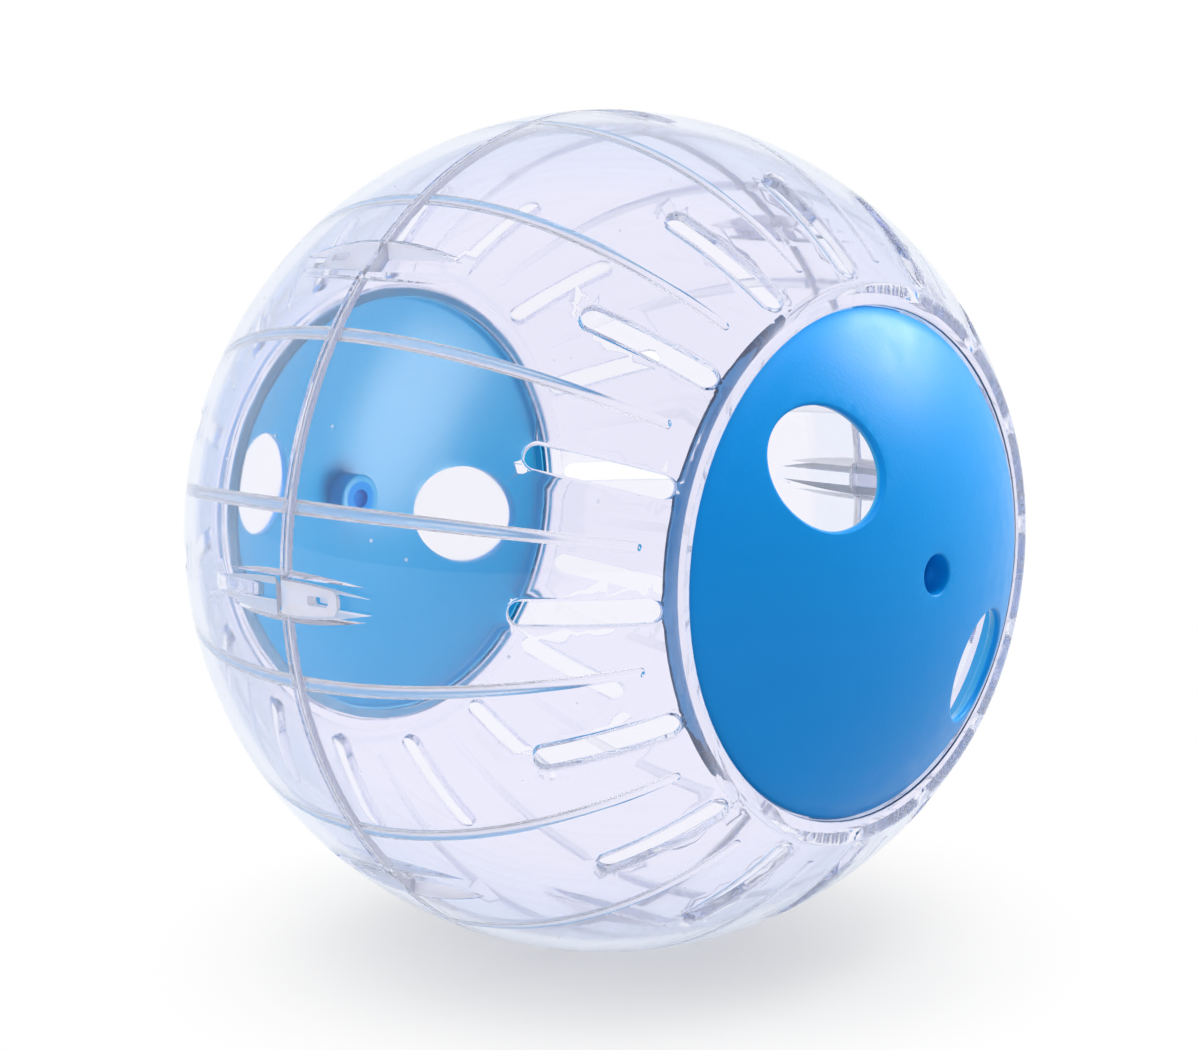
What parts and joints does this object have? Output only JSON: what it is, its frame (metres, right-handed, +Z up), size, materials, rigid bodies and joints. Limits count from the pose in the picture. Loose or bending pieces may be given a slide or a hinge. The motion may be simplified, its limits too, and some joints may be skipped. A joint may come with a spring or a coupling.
{
  "type": "hamster ball",
  "caption": "Clear clip-together exercise ball for a small pet, with vent slots, inner running ribs and push-in domed lids that have finger holes and an axle bore.",
  "frame": {"origin": "centre of the ball, where the axis through both lids crosses the seam plane", "axes": "+X along the axis through the lids, towards the right lid; +Z up, through a vent slot of each half"},
  "size_m": [0.1186, 0.12, 0.12],
  "materials": {
    "clear_shell": "clear moulded polystyrene with a faint lavender cast, polished on both faces",
    "blue_lid": "opaque blue moulded plastic, satin gloss with a fine grain"
  },
  "bodies": {
    "left_shell": {"left_shell": "clear_shell"},
    "right_shell": {"right_shell": "clear_shell"},
    "left_lid": {"left_lid": "blue_lid"},
    "right_lid": {"right_lid": "blue_lid"}
  },
  "joints": [
    {"name": "halves_apart", "type": "slide", "parent": "left_shell", "child": "right_shell", "axis": [1, 0, 0], "range_m": [0, 0.06]},
    {"name": "right_lid_pull", "type": "slide", "parent": "right_shell", "child": "right_lid", "axis": [1, 0, 0], "range_m": [0, 0.08]},
    {"name": "left_lid_pull", "type": "slide", "parent": "left_shell", "child": "left_lid", "axis": [-1, 0, 0], "range_m": [0, 0.08]}
  ]
}
